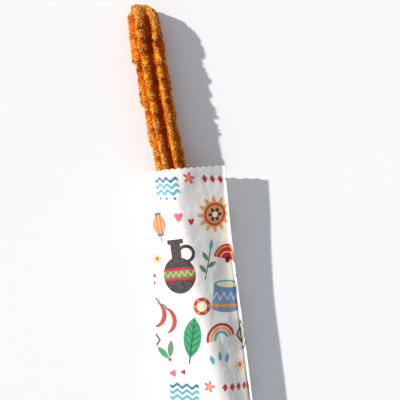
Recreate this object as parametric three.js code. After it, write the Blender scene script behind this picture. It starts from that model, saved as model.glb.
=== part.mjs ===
// A long ridged churro in a flat paper bag, lying on a table with the shown side up. Units are millimetres.
// +Z is up from the table and +Y runs from the bag's closed end to the churro's free tip.
// The origin is the middle of the whole thing's footprint, at the height of the table.
import * as THREE from 'three';

// ---- driving dimensions ----

// The bag: one paper tube pressed flat, open at the mouth and folded shut at the far end. Values in pairs are
// for the mouth and for the body of the bag.
const bag = {
  flatWidth: 89,
  length: 279,
  wall: 0.7,
  // For each side the half width, the run over which it settles, the height of the crease, and how the lower
  // sheet curves down from there to the table: how far in, and at what share of the crease's height.
  left: {
    half: [34.8, 40], run: [0, 200], crease: [9, 7.5], foot: [[2.2, 0.52], [7, 0.12], [12.5, 0], [18, 0]],
  },
  right: {
    half: [33.7, 41.4], run: [20, 240], crease: [24, 20], foot: [[0.5, 0.5], [3, 0.1], [8, 0], [14, 0]],
  },
  settling: 130, // run over which the creases go from their height at the mouth to that of the body
  lipWidth: 2.2, // the right crease stands up as a narrow lip above a valley
  dip: { heights: [23, 11], run: [15, 60] }, // height of that valley, and where it goes down
  gapingRun: 38, // run from the mouth over which the hoop of the mouth narrows to the churro
  hoop: { shift: 8, growth: 4.3, lift: 4 }, // the hoop against the churro's own round at the mouth
  teeth: 15, // pinked teeth along each of the two sheets of the mouth
  toothDepth: 1.3,
  shortfall: 8, // how far the lower sheet stops short of the upper one at the mouth
  shortfallRun: 30,
  widening: 200, // where the sides start to spread to the flat width
  sealLength: 11,
  pocketEnd: 3, // distance above the seal where the inside ends
  closingLength: 24, // run over which the tube goes from open to flat above the seal
  pressed: 0.15, // share of the wall that the inside still stands in from the middle where the tube is flat
  footPinch: 0.7, // how far the curve at the sides draws in where the tube is flat
  mitre: { outside: 1.5, inside: 3.2 }, // longest offset of a sharp corner, in walls' halves
};

// The churro: a star-nozzle rod, thicker at its free tip, bent gently in plan.
const churro = {
  length: 394,
  showing: 148, // length that stands out of the mouth
  bagRadius: 13,
  tipRadius: 14.4,
  thickening: 104, // run outside the mouth over which it gets thicker
  reachDown: 1.02, // share of the radius that its lowest ridges reach
  mouthOffset: -13.1, // where its axis crosses the mouth, measured from the bag's middle
  lean: 0.135, // sideways run for each millimetre into the bag
  bend: 0.0002, // how fast the part outside straightens up
  bow: 0.9, // how far the part outside arches off the table
  landing: 105, // distance outside the mouth where it comes down on the table
  evening: 14, // run before the mouth over which its lumps die out
  sinking: 0.5, // share of a lump's height by which its start lies below the plain ridge
  lumpCurve: 1.1, // how late a lump grows along its length
  tipRounding: 3.4,
  tipRun: 26, // length at the tip over which the uneven ends of the ridges are taken up
  tipSlope: { run: 15, start: 0.15 }, // its upper side slopes down to this share of the height at the tip
  twistRun: [10, 40], // distances from the tip where the ridges' twist is greatest, and where it is gone
  endRounding: 6,
  clearance: 0.4, // gap to the paper round it
};

// Ridges round the rod, each by its angle from straight up towards +X, with a twist near the tip. reach is a
// share of the radius, groove is the depth of the valley after it, walls are the shares of the valley's width
// that its two walls take, and cut is how far short of the tip it stops. Each of its lumps of dough is given by
// how far from the tip it ends in a step, and by its swelling. The last one goes on into the bag.
const ridges = [
  { angle: -55, reach: 1.0, groove: 0.13, cut: 7.5, lumps: [[52, 0.2], [91, 0.15], [114, 0.09], [160, 0.05]] },
  { angle: -19, twist: 4, reach: 0.98, groove: 0.4, walls: [0.5, 0.3], cut: 0.4,
    lumps: [[32, 0.1], [43, 0.12], [60, 0.12], [71, 0.11], [84, 0.11], [97, 0.12], [113, 0.12], [131, 0.11],
      [160, 0.06]] },
  { angle: 40, twist: 13, reach: 0.97, groove: 0.16, cut: 0,
    lumps: [[33, 0.12], [56, 0.16], [67, 0.07], [86, 0.14], [103, 0.12], [131, 0.08], [160, 0.05]] },
  { angle: 81, twist: 4, reach: 0.99, groove: 0.24, cut: 8,
    lumps: [[44, 0.09], [78, 0.09], [103, 0.09], [137, 0.07], [160, 0.05]] },
  { angle: 126, reach: 0.98, groove: 0.25, cut: 2, lumps: [[30, 0.08], [71, 0.08], [99, 0.08], [160, 0.06]] },
  { angle: 172, reach: 0.99, groove: 0.22, cut: 1, lumps: [[48, 0.06], [83, 0.06], [122, 0.06], [160, 0.06]] },
  { angle: 217, reach: 0.98, groove: 0.25, cut: 3, lumps: [[37, 0.08], [69, 0.08], [112, 0.08], [160, 0.06]] },
  { angle: 262, reach: 0.97, groove: 0.2, cut: 7, lumps: [[52, 0.17], [89, 0.14], [126, 0.1], [160, 0.05]] },
];

// ---- resolution ----

const pointsPerRidge = 5;
const fineStep = 2.6; // between rings of the churro where it shows
const coarseStep = 8.6; // and inside the bag
const fineRun = 16; // how far the fine rings go on inside the mouth
const tipRings = [0, 0.3, 1.2, 3.4, 5.2]; // rings at the free tip, and at the other rounded end, from its point
const endRings = [0, 0.6, 2.2, 4.6, 7.2];
const hoopStep = 9; // degrees between points of the paper on a round
const lipSegments = 2; // out of the two for each tooth of the upper sheet
// Where the bag has a ring of points, from the mouth: close together where its form changes fast.
const mouthStations = [0, 3, 9, 17, 26, 36, 50, 66, 84];
const bodyStations = [104, 124, 144, 164, 184, 204];
const closingStations = [220, 234, 244, 249, 254, 259, 264, 268, 279];

// ---- small maths ----

const mix = (a, b, t) => a + (b - a) * t;
const ease = (from, to, x) => THREE.MathUtils.smoothstep(x, from, to);

// ---- the churro ----

const axisX = (y) => churro.mouthOffset - churro.lean * y + (y > 0 ? churro.bend * y * y : 0);

function churroRadius(y) {
  return mix(churro.bagRadius, churro.tipRadius, ease(0, churro.thickening, y));
}

function axisZ(y) {
  const underside = mix(bag.wall + churro.clearance, 0, ease(0, churro.landing, y));
  const arch = churro.bow * Math.sin(Math.PI * THREE.MathUtils.clamp(y / churro.landing, 0, 1));
  return underside + arch + churro.reachDown * churroRadius(y);
}

// Swelling of one ridge at a distance from the tip: each lump grows away from the tip and ends in a step. The
// dough is even again where the paper holds it.
function swelling(ridge, fromTip) {
  const outside = 1 - ease(churro.showing - churro.evening, churro.showing, fromTip);
  const i = ridge.lumps.findIndex(([end]) => fromTip < end);
  if (i < 0) return 0;
  const [end, swell] = ridge.lumps[i];
  const start = i > 0 ? ridge.lumps[i - 1][0] : 0;
  const along = (fromTip - start) / (end - start);
  return outside * swell * (along ** churro.lumpCurve - churro.sinking);
}

// Share of the radius at an angle between ridge k and the next one; t runs from 0 to 1 between them.
function starShare(k, t, fromTip) {
  const here = ridges[k];
  const next = ridges[(k + 1) % ridges.length];
  const height = (ridge) => ridge.reach + swelling(ridge, fromTip);
  const crest = mix(height(here), height(next), ease(0, 1, t));
  const { groove, walls: [near, far] = [0.5, 0.5] } = here;
  return crest - groove * ease(0, near, t) * ease(0, far, 1 - t);
}

// How far a rounded end has opened to the full radius, from 0 at its point to 1 a rounding's length away.
function opening(fromPoint, rounding) {
  return Math.sqrt(Math.max(0, 1 - (1 - Math.min(1, fromPoint / rounding)) ** 2));
}

function churroRing(fromTip, fromEnd) {
  const y = churro.showing - fromTip;
  const tip = opening(fromTip, churro.tipRounding);
  const radius = churroRadius(y) * Math.min(tip, opening(fromEnd, churro.endRounding));
  const uneven = tip * Math.max(0, 1 - fromTip / churro.tipRun);
  const { run, start } = churro.tipSlope;
  const rise = mix(start, 1, Math.min(1, fromTip / run));
  const [most, gone] = churro.twistRun;
  const twisting = ease(0, most, fromTip) * (1 - ease(most, gone, fromTip));
  const turned = ({ angle, twist = 0 }) => angle + twist * twisting;
  const ring = [];
  ridges.forEach((ridge, k) => {
    const next = ridges[(k + 1) % ridges.length];
    const span = (turned(next) - turned(ridge) + 360) % 360;
    for (let j = 0; j < pointsPerRidge; j++) {
      const t = j / pointsPerRidge;
      const angle = THREE.MathUtils.degToRad(turned(ridge) + span * t);
      const r = radius * starShare(k, t, fromTip);
      const up = r * Math.cos(angle);
      const at = y - uneven * mix(ridge.cut, next.cut, ease(0.1, 0.6, t));
      ring.push(new THREE.Vector3(axisX(at) + r * Math.sin(angle), at, axisZ(at) + (up > 0 ? up * rise : up)));
    }
  });
  return ring;
}

function makeChurro() {
  const rings = [];
  for (const d of tipRings) rings.push(d);
  for (let d = tipRings.at(-1) + fineStep; d < churro.showing + fineRun; d += fineStep) rings.push(d);
  for (let d = rings.at(-1) + coarseStep; d < churro.length - endRings.at(-1); d += coarseStep) rings.push(d);
  for (const d of [...endRings].reverse()) rings.push(churro.length - d);
  const loops = rings.reverse().map((d) => churroRing(d, churro.length - d));
  return loft(loops);
}

// ---- the paper bag ----

// Everything here is a function of s, the distance from the mouth into the bag.
function bagSection(s) {
  const flat = bag.length - bag.sealLength;
  const closing = ease(flat - bag.closingLength, flat, s);
  const gaping = 1 - ease(0, bag.gapingRun, s);
  const sheet = bag.wall / 2; // height of the lower sheet's middle where it lies on the table
  const settle = ([atMouth, inBody], from, to) => mix(atMouth, inBody, ease(from, to, s));
  const side = ({ half, crease, run }) => new THREE.Vector2(
    mix(settle(half, ...run), bag.flatWidth / 2 - sheet, ease(bag.widening, flat, s)),
    mix(settle(crease, 0, bag.settling), 2 * sheet, closing),
  );
  const left = side(bag.left);
  left.x *= -1;
  const right = side(bag.right);
  // The paper is drawn over the churro, and near the mouth over the wider hoop that it springs open to.
  const round = (shift, growth, lift) => ({
    x: axisX(-s) + shift,
    z: mix(axisZ(-s) + lift, 2 * sheet, closing),
    r: mix(churro.bagRadius + churro.clearance + bag.wall + growth, sheet, closing),
  });
  const { shift, growth, lift } = bag.hoop;
  const props = [round(0, 0, 0), round(shift * gaping, growth * gaping, lift * gaping)];
  const dip = mix(settle(bag.dip.heights, ...bag.dip.run), 3 * sheet, closing);
  return { closing, sheet, left, right, props, valley: new THREE.Vector2(right.x - bag.lipWidth, dip) };
}

function bendsDown(a, b, c) {
  return b.clone().sub(a).cross(c.clone().sub(b)) < 0;
}

// A sheet pulled taut from one point to another over round props: the upper side of the hull of them all.
function tautOver(props, from, to) {
  const points = [from, to];
  for (const prop of props) {
    for (let angle = -90; angle <= 90; angle += hoopStep) {
      const turn = THREE.MathUtils.degToRad(angle);
      points.push(new THREE.Vector2(prop.x + prop.r * Math.sin(turn), prop.z + prop.r * Math.cos(turn)));
    }
  }
  points.sort((a, b) => a.x - b.x);
  const hull = [];
  for (const p of points) {
    while (hull.length > 1 && !bendsDown(hull.at(-2), hull.at(-1), p)) hull.pop();
    hull.push(p);
  }
  return hull;
}

function upperSheet(s) {
  const { left, props, valley } = bagSection(s);
  return tautOver(props, left, valley);
}

function lip(s) {
  const { right, valley } = bagSection(s);
  return [valley, right];
}

function lowerSheet(s) {
  const { left, right, sheet, closing } = bagSection(s);
  const pinch = mix(1, bag.footPinch, closing);
  const foot = (side, crease, inward) => side.foot.map(([run, share]) =>
    new THREE.Vector2(crease.x + inward * pinch * run, mix(sheet, crease.y, share)));
  return [right, ...foot(bag.right, right, -1), ...foot(bag.left, left, 1).reverse(), left];
}

// A smooth curve through the points, cut into equal lengths, as [x, z] pairs without the last point.
function resample(points, count) {
  const upright = points.map((p) => new THREE.Vector3(p.x, 0, p.y));
  const curve = new THREE.CatmullRomCurve3(upright, false, 'centripetal');
  curve.arcLengthDivisions = 400;
  const spaced = curve.getSpacedPoints(count).slice(0, -1);
  return spaced.map((p) => new THREE.Vector2(p.x, p.z));
}

function middleLine(s) {
  const segments = 2 * bag.teeth;
  const upper = [...resample(upperSheet(s), segments - lipSegments), ...resample(lip(s), lipSegments)];
  return [...upper, ...resample(lowerSheet(s), segments)];
}

// Moves a closed outline sideways by a distance, outwards if positive. Sharp corners get a limited mitre.
function offset(outline, distance, mitre) {
  const n = outline.length;
  return outline.map((p, i) => {
    const back = p.clone().sub(outline[(i + n - 1) % n]).normalize();
    const ahead = outline[(i + 1) % n].clone().sub(p).normalize();
    const sum = new THREE.Vector2(-back.y - ahead.y, back.x + ahead.x);
    const scale = Math.min(2 / Math.max(sum.lengthSq(), 1e-6), mitre / Math.max(sum.length(), 1e-6));
    return p.clone().addScaledVector(sum, scale * distance);
  });
}

// One ring of the bag's skin, outside or inside, with the pinked edge at the mouth. The inside stays above the
// lower sheet, and the outside above the table.
function bagLoop(s, outside) {
  const half = bag.wall / 2;
  const inward = -half * mix(1, bag.pressed, bagSection(s).closing);
  const mitre = outside ? bag.mitre.outside : bag.mitre.inside;
  const outline = offset(middleLine(s), outside ? half : inward, mitre);
  const lowest = outside ? 0 : bag.wall;
  const short = bag.shortfall * (1 - ease(0, bag.shortfallRun, s));
  return outline.map((p, i) => {
    const across = (i * 2) / outline.length - 1; // along the lower sheet, from the right crease to the left one
    const behind = across < 0 ? 0 : short * ease(0, 0.25, across) * ease(0, 0.1, 1 - across);
    const pinking = s === 0 ? (i % 2) * bag.toothDepth : 0;
    return new THREE.Vector3(p.x, -s - behind - pinking, Math.max(p.y, lowest));
  });
}

function makeBag() {
  const stations = [...mouthStations, ...bodyStations, ...closingStations];
  const deepest = bag.length - bag.sealLength - bag.pocketEnd;
  const outer = stations.map((s) => bagLoop(s, true));
  const inner = stations.filter((s) => s < deepest).map((s) => bagLoop(s, false));
  // From the seal up the outside, over the rim of the mouth and down the inside: one closed skin.
  return loft([...outer.reverse(), ...inner]);
}

// ---- making meshes ----

// Joins loops of equal length with quads, and closes the first and the last with a fan round its middle.
function loft(loops) {
  const n = loops[0].length;
  const vertices = loops.flat();
  const faces = [];
  for (let k = 0; k + 1 < loops.length; k++) {
    for (let i = 0; i < n; i++) {
      const j = (i + 1) % n;
      const [a, b, c, d] = [k * n + i, k * n + j, (k + 1) * n + j, (k + 1) * n + i];
      faces.push([a, b, c], [a, c, d]);
    }
  }
  const fan = (loop, base, flip) => {
    const centre = loop.reduce((sum, p) => sum.add(p), new THREE.Vector3()).divideScalar(n);
    const hub = vertices.push(centre) - 1;
    for (let i = 0; i < n; i++) {
      const [p, q] = [base + i, base + ((i + 1) % n)];
      faces.push(flip ? [hub, q, p] : [hub, p, q]);
    }
  };
  fan(loops[0], 0, true);
  fan(loops.at(-1), (loops.length - 1) * n, false);
  const geometry = new THREE.BufferGeometry().setFromPoints(vertices);
  geometry.setIndex(faces.flat());
  geometry.computeVertexNormals();
  return geometry;
}

const crust = new THREE.MeshStandardMaterial({ color: 0xc9761f, roughness: 0.7, metalness: 0 });
const paper = new THREE.MeshStandardMaterial({ color: 0xf2efe8, roughness: 0.6, metalness: 0 });

function named(name, geometry, material) {
  const mesh = new THREE.Mesh(geometry, material);
  mesh.name = name;
  return mesh;
}

const group = new THREE.Group();
group.add(named('churro', makeChurro(), crust));
group.add(named('paper_bag', makeBag(), paper));

const box = new THREE.Box3().setFromObject(group);
const middle = box.getCenter(new THREE.Vector3());
group.position.set(-middle.x, -middle.y, -box.min.z);

export default group;
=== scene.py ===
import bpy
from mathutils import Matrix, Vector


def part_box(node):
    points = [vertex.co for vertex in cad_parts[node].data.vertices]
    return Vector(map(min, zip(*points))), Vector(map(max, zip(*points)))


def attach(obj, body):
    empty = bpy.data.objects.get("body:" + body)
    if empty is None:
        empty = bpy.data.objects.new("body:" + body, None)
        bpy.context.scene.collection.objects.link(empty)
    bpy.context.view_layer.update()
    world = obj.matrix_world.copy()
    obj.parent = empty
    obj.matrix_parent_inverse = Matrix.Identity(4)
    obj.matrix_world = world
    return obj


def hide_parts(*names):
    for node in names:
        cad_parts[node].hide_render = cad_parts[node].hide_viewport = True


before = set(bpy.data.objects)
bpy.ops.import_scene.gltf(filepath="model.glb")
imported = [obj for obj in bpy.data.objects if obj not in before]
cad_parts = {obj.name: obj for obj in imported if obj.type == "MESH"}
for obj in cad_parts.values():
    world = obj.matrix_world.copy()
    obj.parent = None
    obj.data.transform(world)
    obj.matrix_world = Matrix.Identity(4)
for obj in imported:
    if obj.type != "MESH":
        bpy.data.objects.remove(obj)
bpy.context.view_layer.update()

import math
from types import SimpleNamespace

import bpy
import numpy as np
from mathutils import Vector, noise

print("frame loaded")

millimetre = 0.001  # shapes are worked out in millimetres, with y measured from the bag's mouth
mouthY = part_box("paper_bag")[1].y / millimetre
bakeEdge = 0.004  # room left round each bake map
bakeSpan = 1 - 2 * bakeEdge


# small maths

def mix(a, b, t):
    return a + (b - a) * t


def ease(start, end, x):
    t = np.clip((x - start) / (end - start), 0, 1)
    return t * t * (3 - 2 * t)


def cloud(points, size, octaves, seed):
    # soft random bumps about that size, from -1 to 1
    shift = Vector((seed * 17.3, seed * 5.1, seed * 9.7))
    flat = points.reshape(-1, 3) / size
    values = [noise.fractal(Vector(p) + shift, 0.9, 2.1, octaves) for p in flat]
    return np.array(values).reshape(points.shape[:-1])


def blurred(values, times):
    # evens out values on a tube, whose second axis runs round it
    for _ in range(times):
        values = (np.roll(values, 1, 1) + 2 * values + np.roll(values, -1, 1)) / 4
        ends = np.concatenate([values[:1], values, values[-1:]])
        values = (ends[:-2] + 2 * values + ends[2:]) / 4
    return values


def lengthAlong(points):
    return np.concatenate([[0], np.cumsum(np.linalg.norm(np.diff(points, axis=0), axis=1))])


def grid(across, up):
    return np.stack(np.broadcast_arrays(across, up[:, None]), -1)


def unit(vectors):
    return vectors / np.maximum(np.linalg.norm(vectors, axis=-1, keepdims=True), 1e-9)


def gridNormals(rings):
    around = np.roll(rings, -1, 1) - np.roll(rings, 1, 1)
    normals = unit(np.cross(around, np.gradient(rings, axis=0)))
    outward = rings - rings.mean(1, keepdims=True)
    return normals * np.where((normals * outward).sum() < 0, -1, 1)


# meshes

def newObject(name, data):
    made = bpy.data.objects.new(name, data)
    bpy.context.scene.collection.objects.link(made)
    return made


def makePiece(name, points, faces, maps, marks, smooth=True):
    mesh = bpy.data.meshes.new(name)
    placed = (points + (0, mouthY, 0)) * millimetre
    mesh.from_pydata(placed.tolist(), [], faces)
    for label, corners in maps.items():
        mesh.uv_layers.new(name=label).uv.foreach_set("vector", corners.astype(np.float32).ravel())
    for label, values in marks.items():
        mesh.attributes.new(label, "FLOAT", "POINT").data.foreach_set("value", values.astype(np.float32))
    if smooth:
        mesh.shade_smooth()
    return newObject(name, mesh)


def makeTube(name, rings, maps, marks):
    # rings of points from one end to the other, closed at both ends with a fan
    count, around = rings.shape[:2]
    points = np.concatenate([rings.reshape(-1, 3), rings[[0, -1]].mean(1)])
    row, col = np.divmod(np.arange((count - 1) * around), around)
    corners = [(row, col), (row, col + 1), (row + 1, col + 1), (row + 1, col)]
    quads = np.stack([r * around + c % around for r, c in corners], 1)
    step = np.arange(around)
    hubs = [(0, step + 1, step), (count - 1, step, step + 1)]
    fans = []
    for number, (ring, first, second) in enumerate(hubs, count * around):
        rim = [ring * around + k % around for k in (first, second)]
        fans.append(np.stack([np.full(around, number), *rim], 1))
    volume = np.einsum("ij,ij->", points[quads[:, 0]], np.cross(points[quads[:, 1]], points[quads[:, 2]]))
    flip = -1 if volume < 0 else 1
    cornerMaps = {}
    for label, places in maps.items():
        cells = np.stack([places[r, c] for r, c in corners], 1)[:, ::flip].reshape(-1, 2)
        for ring, first, second in hubs:
            middle = np.broadcast_to(places[ring].mean(0), (around, 2))
            fan = np.stack([middle, places[ring, first], places[ring, second]], 1)
            cells = np.concatenate([cells, fan[:, ::flip].reshape(-1, 2)])
        cornerMaps[label] = cells
    faces = quads[:, ::flip].tolist() + [f for fan in fans for f in fan[:, ::flip].tolist()]
    pointMarks = {k: np.concatenate([v.ravel(), v[[0, -1]].mean(1)]) for k, v in marks.items()}
    return makePiece(name, points, faces, cornerMaps, pointMarks)


def wear(piece, material, slot, *nodes):
    piece.data.materials.append(material)
    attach(piece, "root")
    if nodes:
        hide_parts(*nodes)


# shader building

class Wire:
    # one output of a node: sums and products of wires add Math nodes
    def __init__(self, socket):
        self.socket = socket

    def node(self, kind, settings=None, sockets=None, out=0):
        made = self.socket.id_data.nodes.new("ShaderNode" + kind)
        for name, value in (settings or {}).items():
            setattr(made, name, value)
        for name, value in (sockets or {}).items():
            if isinstance(value, Wire):
                made.id_data.links.new(value.socket, made.inputs[name])
            else:
                made.inputs[name].default_value = value
        return Wire(made.outputs[out])

    def maths(self, operation, *values, clamp=False):
        return self.node("Math", {"operation": operation, "use_clamp": clamp}, dict(enumerate(values)))

    def __add__(self, other):
        return self.maths("ADD", self, other)

    def __sub__(self, other):
        return self.maths("SUBTRACT", self, other)

    def __rsub__(self, other):
        return self.maths("SUBTRACT", other, self)

    def __mul__(self, other):
        return self.maths("MULTIPLY", self, other)

    def __truediv__(self, other):
        return self.maths("DIVIDE", self, other)

    def __neg__(self):
        return self * -1

    def __abs__(self):
        return self.maths("ABSOLUTE", self)

    def __pow__(self, other):
        return self.maths("POWER", self, other)

    __radd__ = __add__
    __rmul__ = __mul__


def shade(red, green, blue):
    # a colour as its screen values from 0 to 255
    linear = [((c / 255 + 0.055) / 1.055) ** 2.4 if c > 10 else c / 3294.6 for c in (red, green, blue)]
    return (*linear, 1.0)


def newMaterial(name, fixed):
    material = bpy.data.materials.new(name)
    material.use_nodes = True
    surface = material.node_tree.nodes["Principled BSDF"]
    for socket, value in fixed.items():
        surface.inputs[socket].default_value = value
    return material, Wire(surface.outputs[0])


def connect(surface, wires):
    inputs = surface.socket.node.inputs
    for name, wire in wires.items():
        surface.socket.id_data.links.new(wire.socket, inputs[name])


def smaller(a, b):
    return a.maths("MINIMUM", a, b)


def larger(a, b):
    return a.maths("MAXIMUM", a, b)


def between(low, high, wire):
    # 0 at low, 1 at high
    return wire.maths("MULTIPLY_ADD", wire, 1 / (high - low), -low / (high - low), clamp=True)


def blend(factor, a, b):
    return factor.node("Mix", {"data_type": "RGBA"}, {0: factor, 6: a, 7: b}, out=2)


def fuzz(place, scale, detail, roughness=0.55):
    return place.node("TexNoise", None, {"Vector": place, "Scale": scale, "Detail": detail, "Roughness": roughness})


def finish(surface, looks, colour, rough, height):
    bump = {"Strength": looks["bumpStrength"], "Distance": looks["bump"], "Height": height}
    connect(surface, {"Base Color": colour, "Roughness": rough, "Normal": surface.node("Bump", None, bump)})


def mark(surface, name):
    return surface.node("Attribute", {"attribute_name": name}, out="Fac")


def objectPlace(surface):
    return surface.node("TexCoord", out="Object")


# the churro

churro = {
    "length": 394, "showing": 148,  # in all, and outside the bag
    "bagRadius": 13, "tipRadius": 14.4, "thickening": 104,
    "mouthOffset": -13.1, "lean": 0.135, "bend": 0.0002,  # the axis seen from above
    "reachDown": 1.02, "underside": 1.1, "bow": 0.9, "landing": 105,  # its height, and where it lands
    "tipRounding": 2.7, "endRounding": 6, "tipRings": 20, "endRings": 8,
    "tipRun": 26, "cutTurn": (0.05, 0.45),  # how far back the ridges' cuts reach, and where one meets the next
    "tipHeight": 0.15, "tipSlope": 15,  # how the upper side comes down
    "tipSwell": 0.7, "tipSwellRun": (4, 20), "tipGroove": 0.3, "tipGrooveRun": (4, 22),  # the crust at the tip
    "twistRun": (10, 40),  # where the tip's twist is greatest, and gone
    "around": 208,  # points round the rod
    "step": 0.5, "hiddenStep": 2.6, "pastMouth": 22,  # between rings outside and inside the bag, from there on
    "lumpHeight": 1.45,  # against the plain form's lumps
    "lumpCurve": 1.1, "sinking": 0.5,  # how lumps grow, and how far they start below the ridge
    "lumpEnd": 3.2,  # how blunt a lump's end is
    "lumpBow": 9,  # how far a lump's end draws back on its flanks
    "evening": 14,  # lumps die away over this length before the mouth
    "clearLump": 0.13, "notchEnd": 1.0,  # height of a lump that is browned in full, and its dark end
    "grooveEdge": 0.35,  # 0 for round grooves, 1 for sharp ones
    "fullGroove": 0.25,  # depth of a groove with its full colour, which is partly painted shade
    "mingling": (0.3, 0.7), "browningAndShadeMingling": (0.2, 0.8),  # where one crust turns into the next
    "tear": 0.035, "tears": 20, "tearSpacing": (5, 12), "tearBow": 6, "tearEnd": 1.6, "tearFade": 20,
    "relief": ((9, 2, 0.3), (3.2, 2, 0.28), (1.5, 2, 0.3)),  # size, octaves and height of random bumps
    "crag": 0.5, "cragSize": 4.2, "cragFrom": 0.12, "cragLength": 0.6, "hiddenRelief": 0.35, "hiddenFade": 16,
    "raisedRounds": 30, "raisedHeight": 0.9, "lowest": 0.05, "seed": 11,
}
# a ridge has its angle from straight up, height, groove after it, cut at the tip, and a darkening that is
# browning and, on the shaded right flank, painted shade; a lump has its end's distance from the tip, height and share
# of sugar
ridges = [
    {"angle": -55, "reach": 0.985, "groove": 0.13, "cut": 6.2, "browningAndShade": 0.6,
     "lumps": [(52, 0.12, 0.05), (91, 0.15, 0.1), (114, 0.09, 0.15), (160, 0.05, 0.4)]},
    {"angle": -19, "twist": 4, "wander": (-5, 85, 110), "reach": 0.98, "groove": 0.4, "walls": (0.5, 0.3), "edge": 0,
     "cut": -1.2, "lumps": [
         (32, 0.1, 0.9), (43, 0.12, 0.45), (60, 0.12, 0.1), (71, 0.11, 0.2), (84, 0.11, 0.15), (97, 0.12, 0.15),
         (113, 0.12, 0.7), (131, 0.11, 0.2), (160, 0.06, 0.9)]},
    {"angle": 40, "twist": 13, "wander": (-7, 40, 100), "reach": 0.97, "groove": 0.16, "cut": 0.9,
     "lumps": [(33, 0.12, 0.8), (56, 0.16, 0.2), (67, 0.07, 0.4), (86, 0.1, 0.6), (103, 0.09, 0.7),
               (131, 0.08, 0.7), (160, 0.05, 0.7)]},
    # this ridge on the right flank faces away from the light: its full darkening is painted shade
    {"angle": 81, "twist": 4, "reach": 1.01, "groove": 0.24, "cut": 8, "browningAndShade": 1.0,
     "lumps": [(44, 0.06, 0.4), (78, 0.05, 0.1), (103, 0.09, 0.3), (137, 0.07, 0.2), (160, 0.05, 0.4)]},
    {"angle": 126, "reach": 0.98, "groove": 0.25, "cut": 2.4, "browningAndShade": 0.4,
     "lumps": [(30, 0.08, 0.7), (71, 0.08, 0.2), (99, 0.08, 0.6), (160, 0.06, 0.4)]},
    {"angle": 172, "reach": 0.99, "groove": 0.22, "cut": -0.8, "browningAndShade": 0.2,
     "lumps": [(48, 0.06, 0.3), (83, 0.06, 0.6), (122, 0.06, 0.4), (160, 0.06, 0.6)]},
    {"angle": 217, "reach": 0.98, "groove": 0.25, "cut": -1.4, "browningAndShade": 0.3,
     "lumps": [(37, 0.08, 0.5), (69, 0.08, 0.3), (112, 0.08, 0.6), (160, 0.06, 0.4)]},
    {"angle": 262, "reach": 0.97, "groove": 0.2, "cut": 6.8, "browningAndShade": 0.1,
     "lumps": [(52, 0.13, 0.3), (89, 0.14, 0.6), (126, 0.1, 0.3), (160, 0.05, 0.6)]},
]


def axisX(y):
    return churro["mouthOffset"] - churro["lean"] * y + np.where(y > 0, churro["bend"] * y * y, 0)


def rodRadius(y):
    return mix(churro["bagRadius"], churro["tipRadius"], ease(0, churro["thickening"], y))


def axisZ(y):
    underside = churro["underside"] * (1 - ease(0, churro["landing"], y))
    arch = churro["bow"] * np.sin(math.pi * np.clip(y / churro["landing"], 0, 1))
    return underside + arch + churro["reachDown"] * rodRadius(y)


def opening(fromPoint, rounding):
    # from 0 at a rounded end to 1 where the rounding stops
    return np.sqrt(1 - (1 - np.clip(fromPoint / rounding, 0, 1)) ** 2)


def swelling(lumps, fromTip, blunt):
    # each lump grows away from the tip and ends in a blunt step
    height = np.zeros_like(fromTip)
    start = 0
    for stop, swell, _ in lumps:
        along = (fromTip - start) / (stop - start)
        ending = np.clip((fromTip - stop + blunt) / blunt, 0, 1)
        value = np.abs(along) ** churro["lumpCurve"] * np.sqrt(1 - ending ** 2) - churro["sinking"]
        height = np.where((along >= 0) & (along < 1), swell * value, height)
        start = stop
    return height


def distinct(lumps):
    # how clearly each lump stands out, whatever its height
    return [(stop, min(1, (swell / churro["clearLump"]) ** 2), 0) for stop, swell, _ in lumps]


def crusting(lumps, fromTip):
    # how much sugar is on the lump at each place
    ends = [stop for stop, *_ in lumps]
    levels = [level for *_, level in lumps]
    return np.array(levels + levels[-1:])[np.searchsorted(ends, fromTip)]


def ridgeHeight(ridge, fromTip, away):
    # away is how far round from the crest, as a share of the way to the next one
    shown = churro["showing"]
    even = 1 - ease(shown - churro["evening"], shown, fromTip)
    large = swelling(ridge["lumps"], fromTip + churro["lumpBow"] * away ** 2, churro["lumpEnd"])
    torn = swelling(ridge["tears"], fromTip + churro["tearBow"] * away ** 2, churro["tearEnd"])
    height = ridge["reach"] + even * churro["lumpHeight"] * large
    return height + churro["tear"] * torn * (1 - ease(shown, shown + churro["tearFade"], fromTip))


def ridgeAngle(ridge, fromTip):
    # in degrees, with a twist near the tip and a lasting turn further down
    most, gone = churro["twistRun"]
    twisting = ease(0, most, fromTip) * (1 - ease(most, gone, fromTip))
    turn, start, end = ridge.get("wander", (0, 0, 1))
    return ridge["angle"] + ridge.get("twist", 0) * twisting + turn * ease(start, end, fromTip)


def ringPlaces():
    # distances from the tip, close together where the dough shows
    step, hiddenStep = churro["step"], churro["hiddenStep"]
    cap = churro["tipRounding"] * np.linspace(0.05, 1, churro["tipRings"]) ** 2
    shown = np.arange(cap[-1] + step, churro["showing"] + churro["pastMouth"], step)
    hidden = np.arange(shown[-1] + hiddenStep, churro["length"] - churro["endRounding"], hiddenStep)
    end = churro["length"] - churro["endRounding"] * np.linspace(1, 0.06, churro["endRings"]) ** 2
    return np.concatenate([cap, shown, hidden, end])[:, None]


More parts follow.
